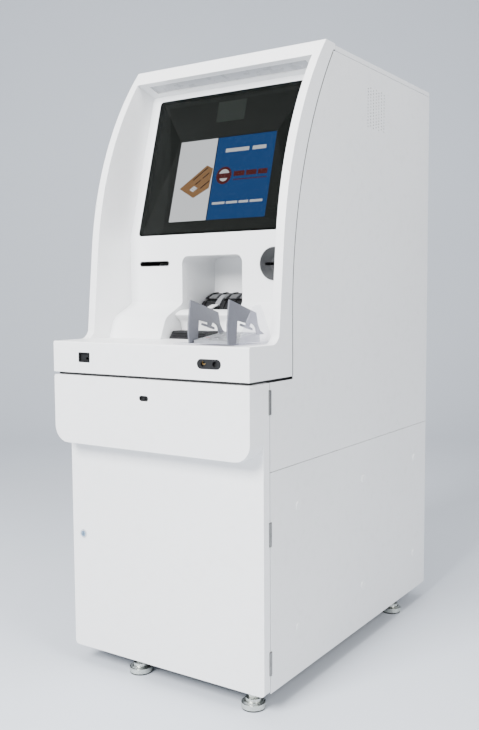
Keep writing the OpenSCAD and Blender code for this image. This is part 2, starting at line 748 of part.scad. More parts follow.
// The black ribbed nose around the note exit, and the black scoop under the lip.
nose_r = 90;
nose_top = shelf_z + 120;
nose = concat([for (a = [0 : 10 : 70])
  [bay_back, nose_top - nose_r] + nose_r * [-sin(a), cos(a)]],
  [[bay_back - nose_r * sin(70), shelf_z + 2], [bay_back, shelf_z + 2]]);
rib_w = 8;
rib_pitch = 33;
rib_h = 2.5;                  // how far the ribs stand out of the nose
scoop_x = -35;
scoop_w = 114;
module note_guide() {
  color("#141517") placed() {
    difference() {
      union() {
        across(bay_w - 1) polygon([for (p = nose) [min(p[0] + rib_h, bay_back),
          max(p[1] - rib_h, shelf_z)]]);
        for (i = [0 : 5]) across(rib_w, -85 + i * rib_pitch) polygon(nose);
      }
      box([-hw, 300, exit_z], [hw, bay_back + 1, exit_z + exit_h]);
    }
    across(scoop_w, scoop_x) polygon([[212, shelf_z], [229, shelf_z + 20],
      [320, shelf_z + 20], [320, shelf_z]]);
    for (i = [0 : 2]) across(scoop_w - 12, scoop_x) polygon([for (p = [[210, 2], [212, 5], [230, 5],
      [230, 2]]) [p[0] + 5 * i * (p[0] < 220 ? 1 : 0), shelf_z + p[1] + 6 * i]]);
  }
}

// The lip spans the bay; beside the scoop it reaches down to the shelf, and a small
// tongue on it holds the nose's strap.
lip_top = shelf_z + 75;
module cash_lip() {
  lip_side = scoop_x + scoop_w / 2 + fit;
  color("#eef0f0") placed() {
    across(bay_w - 1) polygon([[310, lip_top - 3], [280, lip_top], [266, lip_top - 2],
      [248, shelf_z + 66], [243, shelf_z + 62], [246, shelf_z + 57], [258, shelf_z + 50],
      [266, shelf_z + 40], [270, shelf_z + 28], [271, shelf_z + 20], [318, shelf_z + 20],
      [318, lip_top - 8]]);
    across(bay_w / 2 - 0.5 - lip_side, (bay_w / 2 - 0.5 + lip_side) / 2) polygon([
      [271, shelf_z], [271, shelf_z + 20.5], [318, shelf_z + 20.5], [318, shelf_z]]);
    across(20, scoop_x - 3) polygon([[300, lip_top - 6], [345, lip_top + 9], [346, lip_top + 12],
      [300, lip_top - 1]]);
  }
}

module note_shutter() {
  color("#26282b") placed() difference() {
    box([-exit_w / 2 - 5, bay_back + bay_t + 0.4, exit_z - 4], [exit_w / 2 + 5, bay_back + bay_t
      + 2.4, exit_z + exit_h + 4]);
    box([-20, bay_back + bay_t + 1.6, exit_z + 1], [20, bay_back + bay_t + 3, exit_z + 5]);
  }
}

module display_glass() {
  color([0.2, 0.24, 0.25, 0.5]) placed() on_slope(glass_up + glass_l / 2)
    translate([0, 0, -glass_t + 0.5]) linear_extrude(glass_t) round2d(glass_w, glass_l, 9);
}

screen_set = glass_t + 2.5;   // the picture's face below the panel's face
module display_module() {
  color("#1a1c1e") placed() on_slope(glass_up + glass_l / 2) difference() {
    translate([0, 0, -screen_set - 36]) linear_extrude(36 + screen_set - glass_t + 0.5)
      square([glass_w - 20, glass_l - 14], center = true);
    translate([0, screen_up + screen_l / 2 - glass_up - glass_l / 2, -screen_set - 12])
      linear_extrude(30) square([screen_w + 1, screen_l + 1], center = true);
  }
}

module display_screen() {
  color("#2a6fb0") placed() on_slope(screen_up + screen_l / 2)
    translate([0, 0, -screen_set - 11.9]) linear_extrude(11.9) square([screen_w, screen_l],
      center = true);
}

module card_bezel() {
  color("#3c3f42") placed() translate([card_at[0], panel_front, card_at[1]]) rotate([90, 0, 0])
    difference() {
      union() {
        translate([0, 0, 0.05]) cylinder(d = card_bezel_d, h = 3.5, $fn = 96);
        translate([0, 0, -30]) cylinder(d = card_bezel_d - 9, h = 30.1, $fn = 96);
      }
      translate([0, 0, -14]) cylinder(d1 = card_bezel_d - 44, d2 = card_bezel_d - 6, h = 17.6,
        $fn = 96);
      translate([0, 0, -20]) linear_extrude(60, center = true) slot2d(card_slot_w, card_slot_h);
    }
}

module card_reader() {
  color("#54585b") placed() difference() {
    box([card_at[0] - 46, panel_front + 30.5, card_at[1] - 34], [card_at[0] + 46, bay_back - 6,
      card_at[1] + 34]);
    box([card_at[0] - card_slot_w / 2 + 1, panel_front + 20, card_at[1] - 2.5],
      [card_at[0] + card_slot_w / 2 - 1, panel_front + 116, card_at[1] + 2.5]);
  }
}

module receipt_bezel() {
  color("#2b2d2f") placed() translate([receipt_at[0], panel_front, receipt_at[1]])
    rotate([90, 0, 0]) difference() {
      union() {
        translate([0, 0, 0.05]) linear_extrude(0.8) slot2d(receipt_w + 3.6, receipt_h + 3.6);
        translate([0, 0, -16]) linear_extrude(16.1) slot2d(receipt_w + 1.6, receipt_h + 1.6);
      }
      translate([0, 0, 0]) linear_extrude(60, center = true) slot2d(receipt_w, receipt_h - 1);
    }
}

roll_d = 60;
roll_at = [panel_front + 100, receipt_at[1] - 8];
module receipt_printer() {
  color("#5a5e61") placed() difference() {
    box([receipt_at[0] - 54, panel_front + 16.5, receipt_at[1] - 46], [receipt_at[0] + 54,
      bay_back - 6, receipt_at[1] + 36]);
    box([receipt_at[0] - 44, panel_front + 10, receipt_at[1] - 4], [receipt_at[0] + 44,
      roll_at[0], receipt_at[1] + 4]);
    translate([receipt_at[0], roll_at[0], roll_at[1]]) rotate([0, 90, 0])
      cylinder(d = roll_d + 10, h = 88, center = true);
    translate([receipt_at[0], roll_at[0], roll_at[1]]) rotate([0, 90, 0])
      cylinder(d = 8, h = 100, center = true);
  }
}

module paper_roll() {
  color("#f2f2ee") placed() translate([receipt_at[0], roll_at[0], roll_at[1]])
    rotate([0, 90, 0]) {
      cylinder(d = roll_d, h = 80, center = true);
      cylinder(d = 8 - 2 * pin_fit, h = 99, center = true);
    }
}

// ---- shelf furniture -----------------------------------------------------------------------

pad_tilt = 6.5;
pad_w = guard_span - guard_t - 6;
pad_l = 128;
pad_y = 18;
base_t = 4;                   // clear base plate under the keypad and its guards
pad_z = shelf_z + base_t + 0.5;
key_h = 7;
key_base = 5;                 // underside of a key above the keypad's own floor
pad_h = 7;
function key_place(c, r) = [(c - 1) * key_pitch, 16 + (3 - r) * key_pitch + key_pitch / 2 - 4];
module on_pad() {
  placed() translate([keypad_x, pad_y, pad_z]) rotate([pad_tilt, 0, 0]) children();
}
module keypad_body() {
  color("#a9acb2") difference() {
    on_pad() translate([-pad_w / 2, 0, -20]) cube([pad_w, pad_l, pad_h + 20]);
    placed() box([0, -50, shelf_z - 40], [2 * hw, 400, shelf_z + base_t]);
    for (c = [0 : 2], r = [0 : 3]) on_pad() translate([key_place(c, r)[0] - key_s / 2 - 0.5,
      key_place(c, r)[1] - key_s / 2 - 0.5, key_base - key_travel - 0.4])
      cube([key_s + 1, key_s + 1, pad_h]);
  }
}
module key(c, r) {
  color("#c7cace") on_pad() translate([key_place(c, r)[0], key_place(c, r)[1], key_base]) {
    translate([-key_s / 2, -key_s / 2, 0]) cube([key_s, key_s, key_h - 3.5]);
    translate([0, 0, key_h - 3.5]) linear_extrude(1) round2d(key_s - 1.6, key_s - 1.6, 3);
  }
}

guard_outline = [[12, shelf_z + 103], [121, shelf_z + 72], [128, shelf_z + 44],
  [138, shelf_z + 30], [153, shelf_z + 23], [152, shelf_z + 21], [127, shelf_z + 21],
  [123, shelf_z + 24], [120, shelf_z + 35], [115, shelf_z + 42], [105, shelf_z + 47],
  [96, shelf_z + 48], [92, shelf_z + 41], [105, shelf_z + 37], [104, shelf_z + 32],
  [55, shelf_z + 44], [56, shelf_z + 49], [80, shelf_z + 43.5], [79, shelf_z + 49],
  [43, shelf_z + 56], [37, shelf_z + base_t], [6, shelf_z + base_t], [3, shelf_z + 25],
  [3, shelf_z + 48]];
module guard_plates() {
  color("#7d8087") placed() for (s = [-1, 1]) across(guard_t, keypad_x + s * guard_span / 2)
    polygon(guard_outline);
}

clear_right = [[10, shelf_z], [20, shelf_z + 30], [66, shelf_z + 86], [78, shelf_z + 90],
  [98, shelf_z + 90], [134, shelf_z + 29], [141, shelf_z + 15], [126, shelf_z]];
clear_t = 3;
clear_x = [keypad_x - 98, hw - cheek_w - 9];
module clear_guard() {
  color([0.85, 0.88, 0.95, 0.35]) placed() {
    box([clear_x[0], 5, shelf_z], [clear_x[1], 172, shelf_z + base_t]);
    across(clear_t, clear_x[1] - clear_t / 2) polygon(clear_right);
  }
}

// Each socket: across, up, width, height, corner radius.
socket_places = [[-hw + 103.5, 816.5, 38, 25, 3], [hw - 107.5, 814.5, 66, 23, 11.4]];
socket_frame = [58, 44];      // outline of the flush plate around the data socket
module socket_plates() {
  color("#1b1c1e") placed() {
    translate([socket_places[0][0], 0, socket_places[0][1]]) rotate([90, 0, 0]) difference() {
      translate([0, 0, -14]) linear_extrude(13.5) round2d(37.6, 24.6, 2.8);
      translate([0, 0, -6]) linear_extrude(10) round2d(32, 19, 2);
      translate([8, -3, -10]) cube([13.5, 5.5, 20], center = true);
    }
    translate([socket_places[1][0], 0, socket_places[1][1]]) rotate([90, 0, 0]) difference() {
      translate([0, 0, -14]) linear_extrude(14) round2d(65.6, 22.6, 11.2);
      for (s = [-1, 1]) translate([s * 16, 0, -7]) cylinder(d = 13, h = 30);
    }
  }
}

// ---- one line for each piece ------------------------------------------------------------------

base_plate();
lower_side(-1);  // lower_side_left
lower_side(1);  // lower_side_right
upper_side(-1);  // upper_side_left
upper_side(1);  // upper_side_right
rear_panel();
top_cover();
mid_deck();
front_frame();
side_plugs();
foot_pads();
foot_stems();
cassette_rack();
cash_cassettes();
note_transport();
pc_case();
power_supply();
fan_frame();
power_inlet();
hinge_pins();
cabinet_hinges();
fan_rotor();
power_switch();
door_panel();
door_bump();
door_hinges();
lock_body();
key_plate();
lock_barrel();
fascia_shell();
fascia_panel();
display_glass();
display_module();
display_screen();
visor_light();
card_bezel();
card_reader();
receipt_bezel();
receipt_printer();
cash_bay();
note_guide();
cash_lip();
clear_guard();
guard_plates();
keypad_body();
socket_plates();
note_shutter();
paper_roll();
key(0, 0);  // key_1
key(1, 0);  // key_2
key(2, 0);  // key_3
key(0, 1);  // key_4
key(1, 1);  // key_5
key(2, 1);  // key_6
key(0, 2);  // key_7
key(1, 2);  // key_8
key(2, 2);  // key_9
key(0, 3);  // key_left
key(1, 3);  // key_0
key(2, 3);  // key_right
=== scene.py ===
import math

import bmesh
import bpy
from mathutils import Matrix, Vector


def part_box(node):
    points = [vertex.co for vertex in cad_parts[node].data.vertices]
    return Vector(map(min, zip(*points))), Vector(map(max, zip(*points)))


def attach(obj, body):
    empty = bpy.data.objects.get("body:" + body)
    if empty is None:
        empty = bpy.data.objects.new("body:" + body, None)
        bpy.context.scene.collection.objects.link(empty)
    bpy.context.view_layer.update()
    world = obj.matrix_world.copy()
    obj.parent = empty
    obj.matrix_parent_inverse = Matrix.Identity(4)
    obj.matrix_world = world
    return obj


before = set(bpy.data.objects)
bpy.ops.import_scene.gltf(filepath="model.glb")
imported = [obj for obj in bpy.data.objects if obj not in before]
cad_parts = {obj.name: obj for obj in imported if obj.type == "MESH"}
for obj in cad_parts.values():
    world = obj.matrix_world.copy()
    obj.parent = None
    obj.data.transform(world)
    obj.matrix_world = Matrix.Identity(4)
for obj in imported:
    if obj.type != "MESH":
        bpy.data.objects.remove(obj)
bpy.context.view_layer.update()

# ---- Levelling feet ------------------------------------------------------------------
# Zinc-plated steel discs on threaded stems, each with a thin rubber pad stuck under it. The
# stems screw into the base plate, so that the cabinet can be set level.


def finish(name, colour, roughness, metallic=0.0, mottle=0.03, mottle_size=7.0,
           grain=0.06, grain_size=900.0, stretch=(1, 1, 1), gloss_spread=0.07, scuffs=0.0,
           **sockets):
    """A painted, plated or moulded finish with uneven tone, uneven gloss and a fine grain."""
    made = bpy.data.materials.new(name)
    made.use_nodes = True
    made.diffuse_color = (*colour, 1)
    tree = made.node_tree
    add, link = tree.nodes.new, tree.links.new
    surface = tree.nodes["Principled BSDF"]
    surface.inputs["Metallic"].default_value = metallic
    for socket, value in sockets.items():
        surface.inputs[socket.replace("_", " ")].default_value = value
    place = add("ShaderNodeTexCoord")
    drawn = add("ShaderNodeMapping")
    drawn.inputs["Scale"].default_value = stretch
    link(place.outputs["Object"], drawn.inputs["Vector"])

    def cloud(size, detail, source):
        noise = add("ShaderNodeTexNoise")
        noise.inputs["Scale"].default_value = size
        noise.inputs["Detail"].default_value = detail
        link(source, noise.inputs["Vector"])
        return noise.outputs["Fac"]

    def between(value, low, high):
        span = add("ShaderNodeMapRange")
        span.inputs["From Min"].default_value = 0.3
        span.inputs["From Max"].default_value = 0.7
        span.inputs["To Min"].default_value = low
        span.inputs["To Max"].default_value = high
        link(value, span.inputs["Value"])
        return span.outputs["Result"]

    tone = add("ShaderNodeMix")
    tone.data_type = "RGBA"
    tone.inputs["A"].default_value = (*[c * (1 - mottle) for c in colour], 1)
    tone.inputs["B"].default_value = (*[min(1, c * (1 + mottle)) for c in colour], 1)
    link(between(cloud(mottle_size, 5, place.outputs["Object"]), 0, 1), tone.inputs["Factor"])
    shown = tone.outputs["Result"]
    if scuffs:
        rub = add("ShaderNodeMix")
        rub.data_type = "RGBA"
        rub.blend_type = "MULTIPLY"
        rub.inputs["B"].default_value = (1 - scuffs, 1 - scuffs, 1 - scuffs * 1.1, 1)
        speck = between(cloud(38, 9, place.outputs["Object"]), -2.2, 1.4)
        link(speck, rub.inputs["Factor"])
        link(shown, rub.inputs["A"])
        shown = rub.outputs["Result"]
    link(shown, surface.inputs["Base Color"])
    link(between(cloud(mottle_size * 6, 4, drawn.outputs["Vector"]),
                 max(0.02, roughness - gloss_spread), min(1, roughness + gloss_spread)),
         surface.inputs["Roughness"])
    bump = add("ShaderNodeBump")
    bump.inputs["Strength"].default_value = grain
    bump.inputs["Distance"].default_value = 0.0004
    link(cloud(grain_size, 2, drawn.outputs["Vector"]), bump.inputs["Height"])
    link(bump.outputs["Normal"], surface.inputs["Normal"])
    return made


def rounded(node, width, steps=2, seam_angle=30):
    """Breaks a piece's sharp edges with a small radius, as sanding or moulding leaves them."""
    joined = node.modifiers.new("joined", "WELD")
    joined.merge_threshold = 1e-5
    flat = node.modifiers.new("flat", "DECIMATE")
    flat.decimate_type = "DISSOLVE"
    flat.angle_limit = math.radians(0.2)
    soft = node.modifiers.new("soft", "BEVEL")
    soft.width = width
    soft.segments = steps
    soft.limit_method = "ANGLE"
    soft.angle_limit = math.radians(seam_angle)
    soft.use_clamp_overlap = True
    soft.miter_outer = "MITER_ARC"
    shading(node)


def shading(node):
    """Smooth shading across small angles and crisp shading across large ones."""
    smooth = bpy.data.node_groups.get("smooth across small angles")
    if not smooth:
        smooth = bpy.data.node_groups.new("smooth across small angles", "GeometryNodeTree")
        add, link = smooth.nodes.new, smooth.links.new
        smooth.interface.new_socket("Geometry", in_out="INPUT", socket_type="NodeSocketGeometry")
        smooth.interface.new_socket("Geometry", in_out="OUTPUT", socket_type="NodeSocketGeometry")
        entry, leave = add("NodeGroupInput"), add("NodeGroupOutput")
        bare = add("GeometryNodeRemoveAttribute")
        bare.inputs["Name"].default_value = "custom_normal"
        faces, edges = add("GeometryNodeSetShadeSmooth"), add("GeometryNodeSetShadeSmooth")
        edges.domain = "EDGE"
        edges.inputs["Shade Smooth"].default_value = False
        angle, steep = add("GeometryNodeInputMeshEdgeAngle"), add("FunctionNodeCompare")
        steep.operation = "GREATER_THAN"
        steep.inputs["B"].default_value = math.radians(38)
        link(entry.outputs[0], bare.inputs["Geometry"])
        link(bare.outputs[0], faces.inputs["Geometry"])
        link(faces.outputs[0], edges.inputs["Geometry"])
        link(angle.outputs["Unsigned Angle"], steep.inputs["A"])
        link(steep.outputs[0], edges.inputs["Selection"])
        link(edges.outputs[0], leave.inputs[0])
    node.modifiers.new("shading", "NODES").node_group = smooth
    weighted = node.modifiers.new("weighted", "WEIGHTED_NORMAL")
    weighted.keep_sharp = True
    weighted.weight = 60


def dress(names, material, edge=0.0, steps=2):
    """Gives CAD nodes their finish, and broken edges of that width."""
    for name in names.split():
        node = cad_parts[name]
        for holder in node.material_slots:
            holder.material = material
        if edge:
            rounded(node, edge, steps)


rubber = finish("moulded rubber", (0.022, 0.023, 0.023), 0.78, mottle=0.25, mottle_size=60,
                grain=0.35, grain_size=1500, scuffs=0.25)
zinc = finish("zinc plating", (0.60, 0.62, 0.58), 0.30, 1.0, mottle=0.10, mottle_size=45,
              grain=0.10, grain_size=500, stretch=(1, 1, 6), gloss_spread=0.10)
dress("foot_pads", rubber, 0.0012)
dress("foot_stems", zinc, 0.0008)

# ---- Base plate, middle deck and cassette rack ---------------------------------------
# Folded and welded steel plates, painted dark grey. They carry the note cassettes below
# and the electronics above, and the side sheets are riveted to them.
grey_paint = finish("dark grey paint", (0.10, 0.105, 0.11), 0.50, mottle=0.10, grain=0.18,
                    grain_size=700, scuffs=0.15)
dress("base_plate mid_deck cassette_rack", grey_paint, 0.0008)

# ---- Note cassettes ------------------------------------------------------------------
# Four moulded plastic boxes that hold the bank notes. Each slides into its bay of the
# rack and is drawn out by the pocket in its face.
cassette_plastic = finish("cassette plastic", (0.045, 0.048, 0.053), 0.55, mottle=0.12,
                          grain=0.30, grain_size=1300)
dress("cash_cassettes", cassette_plastic, 0.0025, 3)

# ---- Side sheets, rear sheet and top cover -------------------------------------------
# Two-millimetre steel sheets with turned-in edges, powder coated white and baked. The
# coat has a faint orange-peel skin.
# This white is a darker copy of the front's white: the darkening is painted shade on the sides.
side_white_painted_shade = finish("white powder coat, sides, painted shade", (0.78, 0.785, 0.79), 0.42, mottle=0.022,
                    mottle_size=2.3, grain=0.10, grain_size=420, gloss_spread=0.06,
                    scuffs=0.03)
dress("lower_side_left lower_side_right upper_side_left upper_side_right", side_white_painted_shade, 0.0007)
dress("rear_panel top_cover", side_white_painted_shade, 0.0009)

# ---- Blanking plugs ------------------------------------------------------------------
# White nylon plugs pressed into the fixing holes of the lower side sheets.
nylon = finish("white nylon", (0.80, 0.805, 0.81), 0.34, mottle=0.02, mottle_size=50,
               grain=0.06, grain_size=1500)
dress("side_plugs", nylon, 0.0003)

# ---- Front frame ---------------------------------------------------------------------
# A black-painted steel frame behind the door. It closes the long gap under the shelf and
# is what the door's lock catches.
black_paint = finish("black paint", (0.013, 0.013, 0.014), 0.48, mottle=0.2, grain=0.15,
                     grain_size=800)
dress("front_frame", black_paint, 0.0006)

# ---- Hinges and pins -----------------------------------------------------------------
# Steel leaf hinges, zinc plated: three on the lower door and two on the fascia, each with
# a plain pin.
hinge_steel = finish("plated hinge steel", (0.24, 0.24, 0.235), 0.36, 1.0, mottle=0.08,
                     mottle_size=90, grain=0.12, grain_size=260, stretch=(1, 1, 0.2))
dress("hinge_pins cabinet_hinges door_hinges", hinge_steel, 0.0003)


def merged(name, build, material, smooth=True):
    """A new piece from the faces that build() draws into an empty mesh."""
    mesh = bpy.data.meshes.new(name)
    draft = bmesh.new()
    build(draft)
    bmesh.ops.recalc_face_normals(draft, faces=draft.faces)
    draft.to_mesh(mesh)
    draft.free()
    piece = bpy.data.objects.new(name, mesh)
    bpy.context.scene.collection.objects.link(piece)
    mesh.materials.append(material)
    if smooth:
        mesh.shade_smooth()
        mesh.set_sharp_from_angle(angle=math.radians(35))
    return piece


def block(draft, low, high):
    """Faces of a straight-sided block between two corners."""
    centre = (Vector(low) + Vector(high)) / 2
    size = Vector(high) - Vector(low)
    bmesh.ops.create_cube(draft, size=1, matrix=Matrix.Translation(centre)
                          @ Matrix.Diagonal((*size, 1)))


def fitted(piece, body):
    """Fixes a piece to the body it moves with."""
    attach(piece, body)
    return piece


# ---- Painted shade at the door hinges ------------------------------------------------
# Short black strips behind the knuckles, which close the hinge cut-outs in the side sheet. Their
# black is painted shade that stands for the dark cut-outs.
side_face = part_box("lower_side_right")[1][0]
hinge_low, hinge_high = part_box("door_hinges")
hinge_length = 0.055
hinge_shade_end_gap = 0.0006
hinge_shade_back_gap, hinge_shade_depth = 0.0008, 0.0036
hinge_shade_outside, hinge_shade_inside = side_face - 0.0002, side_face - 0.0035
# The black of these strips is painted shade in the hinge cut-outs.
hinge_shade_black = finish("painted shade behind hinges", (0.009, 0.009, 0.010), 0.92, mottle=0.4, mottle_size=500,
              grain=0.8, grain_size=2200)


def hinge_shade_strips(draft):
    front = hinge_high[1] + hinge_shade_back_gap
    bottom_one, top_one = hinge_low[2], hinge_high[2] - hinge_length
    for foot in (bottom_one, (bottom_one + top_one) / 2, top_one):
        block(draft, (hinge_shade_inside, front, foot + hinge_shade_end_gap),
              (hinge_shade_outside, front + hinge_shade_depth, foot + hinge_length - hinge_shade_end_gap))


fitted(merged("hinge_gap_shade", hinge_shade_strips, hinge_shade_black, smooth=False), "cabinet")

# ---- Lower door ----------------------------------------------------------------------
# A folded steel tray, powder coated white, with a bump-out welded to its upper part.
front_white = finish("white powder coat, front", (0.84, 0.845, 0.85), 0.36, mottle=0.018,
                     mottle_size=2.0, grain=0.09, grain_size=420, gloss_spread=0.05,
                     scuffs=0.02)
dress("door_panel", front_white, 0.0014, 3)
dress("door_bump", front_white, 0.0022, 3)

# ---- Door lock and keyhole plate -----------------------------------------------------
# A chromed cam lock in the door's left side, and a black plastic keyhole plate in the
# bump-out.
chrome = finish("chrome", (0.78, 0.80, 0.83), 0.12, 1.0, mottle=0.04, mottle_size=150,
                grain=0.03, grain_size=900, gloss_spread=0.05)
barrel_steel = finish("blued lock steel", (0.30, 0.42, 0.55), 0.24, 1.0, mottle=0.15,
                      mottle_size=200, grain=0.08, grain_size=700)
black_moulding = finish("black moulding", (0.009, 0.0095, 0.0105), 0.55, mottle=0.15,
                        mottle_size=60, grain=0.22, grain_size=1600, Specular_IOR_Level=0.22)
dress("lock_body", chrome, 0.0005)
dress("lock_barrel", barrel_steel, 0.0003)
dress("key_plate", black_moulding, 0.0004)

# ---- Electronics in the upper box ----------------------------------------------------
# The note transport, the computer and its power supply are galvanised steel housings
# bolted to the middle deck.
galvanised = finish("galvanised sheet", (0.47, 0.49, 0.50), 0.38, 0.9, mottle=0.16,
                    mottle_size=26, grain=0.10, grain_size=300, gloss_spread=0.12)
dress("note_transport pc_case power_supply", galvanised, 0.0012)

# ---- Fan -----------------------------------------------------------------------------
# A 120 mm axial fan in black glass-filled plastic behind the round opening in the rear
# sheet. Its rotor turns on the frame's shaft.
fan_plastic = finish("fan plastic", (0.02, 0.021, 0.023), 0.5, mottle=0.12, mottle_size=40,
                     grain=0.25, grain_size=1200)
dress("fan_frame fan_rotor", fan_plastic, 0.0005)

# ---- Mains inlet and switch ----------------------------------------------------------
# A snap-in appliance inlet with three pins, and a rocker switch beside it.
dress("power_inlet", black_moulding, 0.0004)
dress("power_switch", black_moulding, 0.0003)

# ---- Fascia shell --------------------------------------------------------------------
# One welded and filled steel shell: two bulging cheeks, the shelf and the visor, sanded
# and powder coated white. It opens on hinges at its left side.
dress("fascia_shell", front_white, 0.0022, 3)

# ---- Painted shade in the fascia's seam ----------------------------------------------
# A black strip in the long gap between each cheek and its side sheet, from the shelf to the top;
# its black is painted shade for the dark seam. It stays on the cabinet when the fascia opens, and
# stops at the hinges.
sheet_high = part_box("upper_side_right")[1]
shell_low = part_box("fascia_shell")[0]
seam_y, seam_bend_z, seam_radius = -0.324, 0.930, 1.100
seam_shade_half, seam_shade_outside, seam_shade_inside = 0.00172, sheet_high[0] - 0.0001, sheet_high[0] - 0.0045
seam_shade_step = 0.02


def seam_run(low, high):
    """Points of the seam's middle line between two heights, with the way across it."""
    run = []
    steps = max(2, round((high - low) / seam_shade_step))
    for k in range(steps + 1):
        z = low + (high - low) * k / steps
        rise = max(0.0, z - seam_bend_z)
        a = math.asin(rise / seam_radius)
        y = seam_y + seam_radius * (1 - math.cos(a))
        run.append((Vector((0, y, z)), Vector((0, math.cos(a), -math.sin(a)))))
    return run


def seam_shade_strip(side, stretches):
    """Draws the strip of one side in its stretches, each from one height to another."""
    def build(draft):
        corners = [(seam_shade_outside, -seam_shade_half), (seam_shade_outside, seam_shade_half),
                   (seam_shade_inside, seam_shade_half), (seam_shade_inside, -seam_shade_half)]
        for low, high in stretches:
            rows = []
            for middle, across_it in seam_run(low, high):
                rows.append([draft.verts.new(middle + t * across_it + Vector((side * x, 0, 0)))
                             for x, t in corners])
            for first, second in zip(rows, rows[1:]):
                for k in range(4):
                    draft.faces.new((first[k], first[k - 1], second[k - 1], second[k]))
            draft.faces.new(rows[0])
            draft.faces.new(rows[-1])
    return build


seam_shade_foot, seam_shade_top = shell_low[2] + 0.001, sheet_high[2] - 0.004
below_lower_hinge, above_lower_hinge = 0.863, 0.932
below_upper_hinge, above_upper_hinge = 1.143, 1.212
# The strips are black as painted shade in the seam.
seam_shade_black = finish("painted shade in seam", (0.010, 0.010, 0.011), 0.7, mottle=0.3, mottle_size=90,
                     grain=0.3, grain_size=1500)
fitted(merged("seam_shade_right", seam_shade_strip(1, [(seam_shade_foot, seam_shade_top)]), seam_shade_black), "cabinet")
left_stretches = [(seam_shade_foot, below_lower_hinge), (above_lower_hinge, below_upper_hinge),
                  (above_upper_hinge, seam_shade_top)]
fitted(merged("seam_shade_left", seam_shade_strip(-1, left_stretches), seam_shade_black), "cabinet")

# ---- Recessed panel and cash bay -----------------------------------------------------
# A steel sheet rolled over the low hump behind the shelf and folded back to lean under
# the screen. The bay behind its arch is a separate welded box.
# This white is a little darker than the front's white: painted shade for the recess.
panel_white_painted_shade = finish("white powder coat, panel, painted shade", (0.80, 0.81, 0.82), 0.40, mottle=0.018,
                     mottle_size=2.6, grain=0.09, grain_size=420, gloss_spread=0.05)
dress("fascia_panel", panel_white_painted_shade, 0.0006)
dress("cash_bay", panel_white_painted_shade, 0.0007)

# ---- Note guide, lip and shutter -----------------------------------------------------
# A black ribbed plastic nose round the exit slot, a black scoop on the shelf, and a painted
# lip between them. A dark shutter behind the slot opens upwards.
dress("note_guide", black_moulding, 0.0006)
dress("cash_lip", front_white, 0.0035, 3)
shutter_plastic = finish("smoked shutter plastic", (0.03, 0.03, 0.033), 0.22, mottle=0.1,
                         mottle_size=30, grain=0.04, grain_size=900, Coat_Weight=0.3)
dress("note_shutter", shutter_plastic, 0.0003)

# ---- Screen --------------------------------------------------------------------------
# A fifteen-inch panel sits behind a dark tinted cover glass that fills the leaning part
# of the recess. The glass is bonded to the black display frame.
matt_black = finish("matt black backing", (0.008, 0.009, 0.008), 0.6, mottle=0.2,
                    mottle_size=30, grain=0.1, grain_size=900)
dress("display_module", matt_black)
tinted = bpy.data.materials.new("dark tinted glass")
tinted.use_nodes = True
tint = tinted.node_tree
pane = tint.nodes["Principled BSDF"]
pane.inputs["Base Color"].default_value = (0.0035, 0.0045, 0.0038, 1)
pane.inputs["Alpha"].default_value = 0.62
pane.inputs["Specular IOR Level"].default_value = 0.12
smear = tint.nodes.new("ShaderNodeTexNoise")
smear.inputs["Scale"].default_value = 14
smear.inputs["Detail"].default_value = 6
gloss = tint.nodes.new("ShaderNodeMapRange")
gloss.inputs["To Min"].default_value = 0.015
gloss.inputs["To Max"].default_value = 0.06
where = tint.nodes.new("ShaderNodeTexCoord")
tint.links.new(where.outputs["Object"], smear.inputs["Vector"])
tint.links.new(smear.outputs["Fac"], gloss.inputs["Value"])
tint.links.new(gloss.outputs["Result"], pane.inputs["Roughness"])
dress("display_glass", tinted, 0.0006)

# The glass leans back: sideways, up the slope and out of it, from its lower edge.
screen_low, screen_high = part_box("display_screen")
lean = math.atan2(112.5, 396.0)
screen_thick = 0.0119
up_slope = Vector((0, math.sin(lean), math.cos(lean)))
out_of_slope = Vector((0, -math.cos(lean), math.sin(lean)))
picture_wide, picture_high = screen_high[0] - screen_low[0], 0.228
picture_foot = Vector(screen_low) + screen_thick * Vector((0, 0, math.sin(lean)))


def on_picture(u, v, lift=0.0):
    """A point on the lit picture: u across and v down, both from 0 to 1."""
    across_it = Vector((u * picture_wide, 0, 0))
    return picture_foot + across_it + (1 - v) * picture_high * up_slope + lift * out_of_slope


def picture_ink(name, colour, glow):
    """A colour of the lit picture, with the fine unevenness of a backlight."""
    made = finish(name, colour, 0.25, mottle=0.04, mottle_size=9, grain=0.02)
    surface = made.node_tree.nodes["Principled BSDF"]
    surface.inputs["Emission Color"].default_value = (*colour, 1)
    surface.inputs["Emission Strength"].default_value = glow
    return made


def patch(draft, outline, lift, ink=0):
    """A flat patch of the picture with that (u, v) outline."""
    face = draft.faces.new([draft.verts.new(on_picture(u, v, lift)) for u, v in outline])
    face.material_index = ink


def bar(u0, v0, u1, v1):
    return [(u0, v0), (u1, v0), (u1, v1), (u0, v1)]


def disc(u, v, radius, start=0, stop=360, sides=48):
    """The outline of a disc, or of part of one, with its radius in metres."""
    turns = [math.radians(start + (stop - start) * k / sides) for k in range(sides + 1)]
    if stop - start == 360:
        turns.pop()
    return [(u + radius * math.cos(a) / picture_wide, v - radius * math.sin(a) / picture_high)
            for a in turns]


# ---- Picture on the screen -----------------------------------------------------------
# The lit liquid-crystal picture: a bank card on a pale ground at the left, and a blue ground
# with plain bars and a red disc at the right.
def on_card(u, v):
    """A point of the tilted card: u along its long side and v across it."""
    return 0.06 + 0.265 * u + 0.167 * v, 0.59 - 0.265 * u + 0.127 * v


def card_patch(u0, v0, u1, v1):
    return [on_card(u0, v0), on_card(u1, v0), on_card(u1, v1), on_card(u0, v1)]


